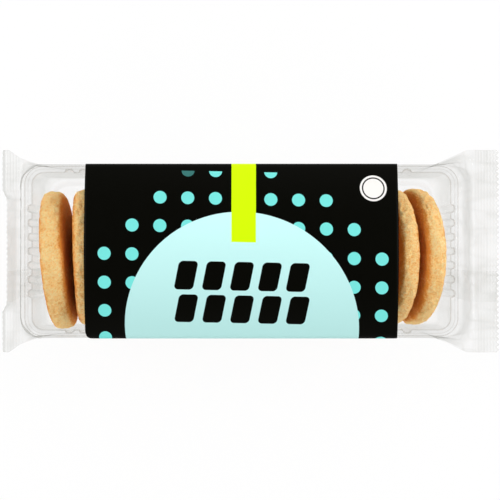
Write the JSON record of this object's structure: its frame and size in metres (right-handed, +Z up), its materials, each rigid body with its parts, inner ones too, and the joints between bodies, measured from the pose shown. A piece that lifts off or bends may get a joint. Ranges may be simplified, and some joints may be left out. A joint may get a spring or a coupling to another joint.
{
  "type": "sealed tray pack of shortbread biscuits",
  "caption": "Clear flow-wrapped tray of round shortbread biscuits standing in a row, with crimped end seals and a wide printed label over the middle.",
  "frame": {"origin": "middle of the pack's bounding box, on the surface it lies on", "axes": "+X along the row of biscuits, +Y across the pack towards the wall the label runs down, +Z up through the printed top"},
  "size_m": [0.2266, 0.092, 0.0642],
  "materials": {
    "clear_film": "clear glossy film, crimped at both ends",
    "label_print": "satin black label with pale blue, turquoise and lime print",
    "tray_plastic": "clear thermoformed tray",
    "biscuit": "matt baked crumb, golden with browner faces"
  },
  "bodies": {
    "root": {"sealed_pack": "clear_film", "label": "label_print"}
  },
  "joints": []
}
